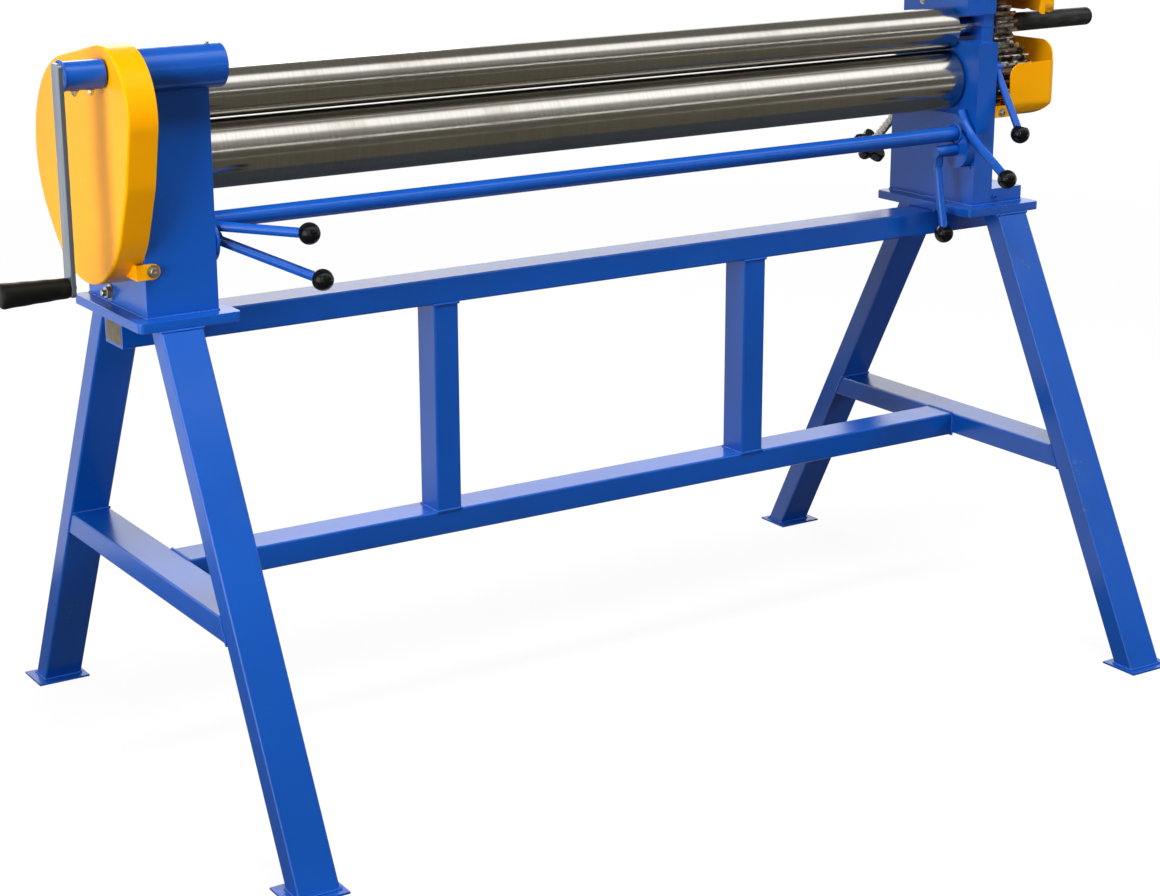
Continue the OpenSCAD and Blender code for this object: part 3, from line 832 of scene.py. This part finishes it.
class ROLLER_OT_levers(bpy.types.Operator):
    """Lever bars, tie rod and their ball knobs"""
    bl_idname = "roller.levers"
    bl_label = "Levers and balls"

    def execute(self, context):
        for node in LEVER_OF.values():
            dress(node, "_bar", merged(node), "enamel")
        start, length, r = barrel("tie_rod")
        dress("tie_rod", "_turned", turned(rod_profile(length, r), start, X, 48), "enamel")
        for node in [n for n in frame["nodes"] if n.startswith("ball_")]:
            dress(node, "_knob", self.ball(node), "phenolic", smooth=40)
        bead, inset = 0.0177, 0.0006        # radius of each bead's line, and its distance from the rod's end
        ends = [(ring_points(Vector(start) + X*s, X, bead), True) for s in (inset, length - inset)]
        weld("tie_rod_welds", "eccentric", ends)
        return {"FINISHED"}

    def ball(self, node):
        """A ball with a small flat neck towards its lever."""
        centre, r = ball_of(node)
        points = node_points(LEVER_OF[node])
        nearest = np.argsort(np.linalg.norm(points - np.array(centre), axis=1))[:60]
        away = centre - Vector(points[nearest].mean(axis=0))
        arc = [(-math.cos(a)*r, math.sin(a)*r) for a in (math.pi*k/24 for k in range(25))]
        arc = [(s, radius) for s, radius in arc if s >= -r*0.86]
        start, neck = arc[0]
        return turned([(start, 0), (start, neck*0.80), (start, neck*0.97)] + arc, centre, away, 48)


class ROLLER_OT_rear(bpy.types.Operator):
    """Rear adjusting screws with their threads and star knobs"""
    bl_idname = "roller.rear"
    bl_label = "Rear adjusters"

    def execute(self, context):
        axis = Vector(JOINTS["rear_roll_shift"]["axis"]).normalized()
        turn = axis.to_track_quat("Z", "Y").to_matrix().to_4x4()
        pitch, root = sizes().thread_pitch, 0.0078
        gap, plain = 0.002, 0.010           # lengths without thread, at the knob and at the tip
        for side in ("left", "right"):
            home = Vector(JOINTS["rear_knob_%s_turn" % side]["pos_m"])
            knob = node_points("star_knob_" + side)
            foot, tip = self.reach(node_points("rear_screw_" + side), home, axis)
            below, above = self.reach(knob, home, axis)
            length = tip - foot
            core = [(0, 0), (0, root), (length - 0.004, root), (length - 0.001, 0.007), (length, 0.006),
                    (length, 0)]
            dress("rear_screw_" + side, "_core", turned(core, home + axis*foot, axis, 32), "steel")
            clear = length - (above - foot) - (gap + plain)
            coil = grown("thread", line_mesh([]), thread_tree(finish("steel")),
                         {"Turns": clear/pitch, "Length": clear, "Radius": 0.0079, "Depth": 0.0011})
            coil.transform(Matrix.Translation(home + axis*(above + gap)) @ turn)
            settle("rear_screw_%s_thread" % side, coil, "rear_adjuster_" + side, "steel", smooth=50)
            flat = knob - np.array(home)
            flat = flat - np.outer(flat @ np.array(axis), np.array(axis))
            star = self.star(above - below, float(np.linalg.norm(flat, axis=1).max()))
            star.transform(Matrix.Translation(home + axis*below) @ turn)
            dress("star_knob_" + side, "_moulded", star, "phenolic")
        return {"FINISHED"}

    def reach(self, points, home, axis):
        """Where the points start and end along an axis, from home."""
        along = points @ np.array(axis)
        return [(Vector(points[k]) - home).dot(axis) for k in (along.argmin(), along.argmax())]

    def star(self, thick, outer):
        """Five-lobed knob with a raised boss, standing along +Z."""
        count, lobes, depth = 120, 5, 0.0125
        layers = [(0.002, 0.86), (0.003, 0.94), (0.0055, 0.99), (0.008, 1.0), (thick - 0.010, 1.0),
                  (thick - 0.007, 0.985), (thick - 0.005, 0.93), (thick - 0.0042, 0.85)]
        angles = [2*math.pi*k/count for k in range(count)]
        radii = [outer - depth + depth*(0.5 + 0.5*math.cos(lobes*a))**0.75 for a in angles]
        rings = [[(r*scale*math.cos(a), r*scale*math.sin(a), z) for a, r in zip(angles, radii)]
                 for z, scale in layers]
        boss = turned([(0, 0), (0, 0.0145), (0.001, 0.016), (thick - 0.002, 0.0165), (thick, 0.0150),
                       (thick, 0)], (0, 0, 0), Z, 40)
        return from_bmesh(join(skinned(rings, count), boss))


class ROLLER_OT_welds(bpy.types.Operator):
    """Weld beads where the stand and columns are joined"""
    bl_idname = "roller.welds"
    bl_label = "Welds"

    def execute(self, context):
        lift, leg_lift = 0.0005, 0.0006     # how far a bead's line stands off the plate or rail beside it
        plate_low, plate_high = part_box("base_plate_left")
        foot_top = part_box("foot_plate_front_left")[1][2]
        loops = []
        for node in [n for n in frame["nodes"] if n.startswith("leg_")]:
            loops.append(level_loop(*section(node, plate_low[2]), plate_low[2] - leg_lift))
            loops.append(level_loop(*section(node, foot_top), foot_top + leg_lift))
        for node in ("post_left", "post_right"):
            low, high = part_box(node)
            loops += [level_loop(low, high, high[2] - lift), level_loop(low, high, low[2] + lift)]
        for side, end in (("left", 0), ("right", 1)):
            loops.append(level_loop(*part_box("column_" + side), plate_high[2] + lift))
            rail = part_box("lower_rail")
            (_, y0, z0), (_, y1, z1) = rail
            x = rail[end][0]
            loops.append(([(x, y0, z0), (x, y1, z0), (x, y1, z1), (x, y0, z1)], True))
            brace = "cross_brace_" + side
            low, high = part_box(brace)
            upper, lower = section(brace, high[2]), section(brace, low[2])
            for face in (0, 1):
                yu, yl = upper[face][1], lower[face][1]
                loops.append(([(low[0], yu, high[2]), (high[0], yu, high[2]),
                               (high[0], yl, low[2]), (low[0], yl, low[2])], True))
            rail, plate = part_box("upper_rail"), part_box("base_plate_" + side)
            x0, x1 = max(plate[0][0], rail[0][0]), min(plate[1][0], rail[1][0])
            for y in (rail[0][1], rail[1][1]):
                loops.append(([(x0, y, rail[1][2]), (x1, y, rail[1][2])], False))
        weld("stand_welds", "stand", loops)
        return {"FINISHED"}


class ROLLER_OT_fasteners(bpy.types.Operator):
    """Screws, bolts and washers of the stand, guards and yoke"""
    bl_idname = "roller.fasteners"
    bl_label = "Screws and bolts"

    def execute(self, context):
        left, front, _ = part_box("column_left")[0]
        lug, bracket = (-0.880, front - 0.0032, 0.8745), (0.835, -0.1095, 0.971)
        fasten("guard_bracket_screw", "stand", "socket", [(lug, -Y, 1.25), (bracket, -Y, 1.0)])
        right_foot, left_foot = (0.824, front, 0.814), (left, 0.035, 0.817)
        fasten("column_screw", "stand", "socket", [(right_foot, -Y, 0.8)], "enamel")
        self.side_bolt(left_foot)
        low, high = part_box("yoke")
        yoke_side, yoke_top = (low[0], 0.055, 1.168), (0.833, ROLL_Y, high[2] - 0.0002)
        fasten("yoke_screws", "yoke", "socket", [(yoke_side, -X, 0.7)])
        nipple = turned([(0, 0), (0, 0.0045), (0.002, 0.0045), (0.002, 0.0032), (0.006, 0.0032),
                         (0.0075, 0.0022), (0.009, 0.0026), (0.010, 0.0018), (0.010, 0)], yoke_top, Z, 20)
        settle("yoke_grease_nipple", nipple, "yoke", "zinc")
        start, length, _ = barrel("yoke_hinge_pin")
        dress("yoke_hinge_pin", "_turned", turned(rod_profile(length, 0.008), start, X, 32), "steel")
        for node in ("rear_bearing_left", "rear_bearing_right"):
            dress(node, "_block", merged(node), "gear")
        return {"FINISHED"}

    def side_bolt(self, at):
        """A washer, a six-sided head and the bolt's end, on the outside of the left column."""
        washer, head, end = 0.0020, 0.0095, 0.0160
        parts = [turned([(0, 0), (0, 0.0135), (washer, 0.0135), (washer, 0)], at, -X, 32),
                 turned([(washer, 0), (washer, 0.0105), (head - 0.001, 0.0105), (head, 0.0092), (head, 0)],
                        at, -X, 6),
                 turned([(head, 0), (head, 0.005), (end - 0.001, 0.005), (end, 0.004), (end, 0)], at, -X, 24)]
        settle("column_side_bolt", join(*parts), "stand", "zinc")


# name, place, aim, width and height, watts, colour, spread in degrees, whether steel and paint mirror it
LAMPS = (
    ("key", (-0.3, -1.9, 6.0), (0, 0, 0.7), (4.2, 1.1), 350, (1.0, 1.0, 0.98), 180, False),
    ("left", (-3.6, -0.9, 1.4), (-0.8, 0, 0.9), (2.4, 2.0), 42, (1.0, 0.99, 0.96), 180, True),
    ("side", (-2.4, -0.6, 1.0), (-0.95, 0, 0.92), (1.3, 1.3), 7.5, (1.0, 0.99, 0.96), 80, False),
    ("fill", (2.3, -2.3, 1.5), (0.95, 0, 1.05), (0.8, 0.8), 24, (0.97, 0.98, 1.0), 180, False),
    ("spark", (-2.2, -3.2, 2.6), (0, 0, 0.9), (0.12, 0.12), 8, (1, 1, 1), 180, True),
    ("back", (0.4, 3.2, 2.8), (0, 0, 0.8), (2.6, 1.2), 40, (1, 1, 1), 180, True),
)

# name, look, x from and to, near edge (y, z), far edge (y, z)
CARDS = (
    ("flag_0", "ground", (-3.4, 3.4), (-4.15, 0.001), (-0.15, 0.001)),
    ("flag_1", "ground", (-3.4, -0.5), (-0.15, 0.001), (1.1, 0.001)),
    ("flag_2", "ground", (0.8, 3.4), (-0.15, 0.001), (1.1, 0.001)),
    ("flag_3", "ground", (-0.2, 9.0), (1.1, 0.001), (7.0, 0.001)),
    ("flag_front", "wall", (-1.6, 9.0), (-4.4, 0.0), (-2.6, 4.0)),
    ("flag_line", "line", (-0.6, 1.7), (-0.91, 1.245), (-0.90, 1.272)),
    ("flag_over", "panel", (-3.0, 7.0), (-2.6, 4.0), (-0.2, 4.6)),
    ("flag_behind", "ceiling", (-3.0, 7.0), (-0.2, 4.6), (3.6, 4.6)),
    ("flag_back", "back", (-2.0, 11.0), (6.5, 0.3), (6.5, 7.0)),
    ("flag_under", "navy", (-0.768, 0.768), (-0.095, 0.966), (0.02, 0.966)),
)


class ROLLER_OT_stage(bpy.types.Operator):
    """Pale floor, soft studio light and the camera"""
    bl_idname = "roller.stage"
    bl_label = "Stage"

    def execute(self, context):
        scene = context.scene
        scene.view_settings.view_transform = "Standard"
        self.camera(scene)
        self.floor()
        self.flags()
        self.world(scene)
        for name, place, aim, size, watts, colour, spread, mirrored in LAMPS:
            lamp = bpy.data.lights.new(name, "AREA")
            lamp.shape, lamp.energy, lamp.color = "RECTANGLE", watts, colour
            lamp.size, lamp.size_y = size
            lamp.spread = math.radians(spread)
            item = added(name, lamp)
            facing = (Vector(aim) - Vector(place)).to_track_quat("-Z", "Y").to_matrix().to_4x4()
            item.matrix_world = Matrix.Translation(place) @ facing
            item.visible_glossy = mirrored
        return {"FINISHED"}

    def camera(self, scene):
        place = (-2.24688, -3.41685, 1.61530)
        yaw, pitch, roll = (math.radians(a) for a in (30.82, 16.20, 0.75))
        ahead = Vector((math.sin(yaw)*math.cos(pitch), math.cos(yaw)*math.cos(pitch), -math.sin(pitch)))
        right = Vector((math.cos(yaw), -math.sin(yaw), 0))
        down = ahead.cross(right)
        across = right*math.cos(roll) + down*math.sin(roll)
        upward = right*math.sin(roll) - down*math.cos(roll)
        lens = bpy.data.cameras.new("camera")
        lens.sensor_width, lens.lens = 36.0, 73.5
        lens.shift_x, lens.shift_y = 0.0721, 0.0001
        lens.clip_end = 100
        scene.camera = added("camera", lens)
        turn = Matrix((across, upward, -ahead)).transposed().to_4x4()
        scene.camera.matrix_world = Matrix.Translation(place) @ turn

    def sheet(self, name, material, corners):
        """A flat piece of the stage."""
        mesh = bpy.data.meshes.new(name)
        mesh.from_pydata(corners, [], [(0, 1, 2, 3)])
        mesh.materials.append(material)
        item = added(name, mesh)
        return item

    def floor(self):
        """Pale to the eye and in reflections, dark for the light that it throws back, white far away."""
        half, below = 30, -0.0002
        corners = ((-half, -half, below), (half, -half, below), (half, half, below), (-half, half, below))
        f = Finish("pale_floor", Roughness=0.9, Specular_IOR_Level=0.0)
        path = f.node("ShaderNodeLightPath").socket.node
        eye, mirror, glass = (Wire(f, path.outputs[kind])
                              for kind in ("Is Camera Ray", "Is Glossy Ray", "Is Transmission Ray"))
        seen = (eye + mirror + glass).ramp(0.0, 1.0)
        f.feed("Base Color", f.mix(seen, (0.10, 0.10, 0.11), (0.90, 0.90, 0.90)))
        glow = f.node("ShaderNodeEmission", None, {"Color": (1.0, 1.0, 1.0, 1.0), "Strength": 1.03})
        length = 1                          # the output for numbers
        away = f.node("ShaderNodeVectorMath", {"operation": "LENGTH"}, {0: f.place()}, out=length)
        white = seen*away.ramp(2.5, 8.0, 0.90, 1.0)
        mixed = f.node("ShaderNodeMixShader", None, {0: white, 1: Wire(f, f.surface.outputs[0]), 2: glow})
        out = next(n for n in f.tree.nodes if n.type == "OUTPUT_MATERIAL")
        f.tree.links.new(mixed.socket, out.inputs["Surface"])
        self.sheet("floor", f.material, corners)

    def flags(self):
        """Cards that only reflections see: dark ground, a front wall that brightens upwards, a thin bright
        line, a bright panel overhead, a dim ceiling, a bright back, and navy under the bottom roll."""
        def card(name, glow):
            return Finish(name, Roughness=1.0, Base_Color=(0.01, 0.01, 0.01), Emission_Color=glow,
                          Emission_Strength=1.0).material

        wall, panel = (Finish(name, Roughness=1.0, Base_Color=(0, 0, 0), Emission_Strength=1.0)
                       for name in ("front_wall", "overhead_panel"))
        height = wall.node("ShaderNodeSeparateXYZ", None, {"Vector": wall.place()}, out="Z")
        lower = wall.mix(height.ramp(1.9, 3.2), (0.135, 0.128, 0.100), (0.46, 0.46, 0.45))
        wall.feed("Emission Color", wall.mix(height.ramp(3.4, 4.0), lower, (1.5, 1.5, 1.5)))
        depth = panel.node("ShaderNodeSeparateXYZ", None, {"Vector": panel.place()}, out="Y")
        panel.feed("Emission Color", panel.mix(depth.ramp(-0.5, -1.3), (0.20, 0.195, 0.17), (2.2, 2.2, 2.2)))
        looks = {"wall": wall.material, "panel": panel.material,
                 "ground": card("warm_ground", (0.120, 0.110, 0.080)),
                 "line": card("bright_line", (4.0, 4.0, 4.0)),
                 "ceiling": card("dim_ceiling", (0.20, 0.195, 0.17)),
                 "back": card("bright_back", (1.7, 1.7, 1.7)),
                 "navy": card("navy_card", (0.05, 0.06, 0.08))}
        for name, look, (x0, x1), near, far in CARDS:
            item = self.sheet(name, looks[look], ((x0, *near), (x1, *near), (x1, *far), (x0, *far)))
            for kind in ("camera", "diffuse", "shadow", "transmission"):
                setattr(item, "visible_" + kind, False)

    def world(self, scene):
        """White to the eye and in reflections, dim as light on the machine."""
        world = bpy.data.worlds.new("studio")
        world.use_nodes = True
        scene.world = world
        tree = world.node_tree
        path = tree.nodes.new("ShaderNodeLightPath")
        seen = path.outputs["Is Camera Ray"]
        for kind in ("Is Transmission Ray", "Is Glossy Ray"):
            either = tree.nodes.new("ShaderNodeMath")
            either.operation = "MAXIMUM"
            tree.links.new(seen, either.inputs[0])
            tree.links.new(path.outputs[kind], either.inputs[1])
            seen = either.outputs[0]
        level = tree.nodes.new("ShaderNodeMapRange")
        tree.links.new(seen, level.inputs["Value"])
        level.inputs["To Min"].default_value = 0.11
        level.inputs["To Max"].default_value = 1.0
        sky = tree.nodes["Background"]
        sky.inputs["Color"].default_value = (1, 1, 1, 1)
        tree.links.new(level.outputs[0], sky.inputs["Strength"])


class ROLLER_PT_panel(bpy.types.Panel):
    """Lists the steps that dress the machine"""
    bl_idname = "ROLLER_PT_panel"
    bl_label = "Plate roller"
    bl_space_type = "VIEW_3D"
    bl_region_type = "UI"
    bl_category = "Plate roller"

    def draw(self, context):
        for group in (context.scene.roller_sizes, context.scene.roller_colours):
            for name in group.bl_rna.properties.keys():
                if name not in ("rna_type", "name"):
                    self.layout.prop(group, name)
        for step in STEPS:
            self.layout.operator(step.bl_idname)


STEPS = (ROLLER_OT_tubes, ROLLER_OT_plates, ROLLER_OT_guards, ROLLER_OT_rolls, ROLLER_OT_crank,
         ROLLER_OT_levers, ROLLER_OT_rear, ROLLER_OT_welds, ROLLER_OT_fasteners, ROLLER_OT_stage)
CLASSES = (RollerSizes, RollerColours) + STEPS + (ROLLER_PT_panel,)


def register():
    for item in CLASSES:
        bpy.utils.register_class(item)
    bpy.types.Scene.roller_sizes = bpy.props.PointerProperty(type=RollerSizes)
    bpy.types.Scene.roller_colours = bpy.props.PointerProperty(type=RollerColours)


def unregister():
    del bpy.types.Scene.roller_colours
    del bpy.types.Scene.roller_sizes
    for item in reversed(CLASSES):
        bpy.utils.unregister_class(item)


def main():
    register()
    for step in STEPS:
        group, call = step.bl_idname.split(".")
        getattr(getattr(bpy.ops, group), call)()


if __name__ == "__main__":
    main()
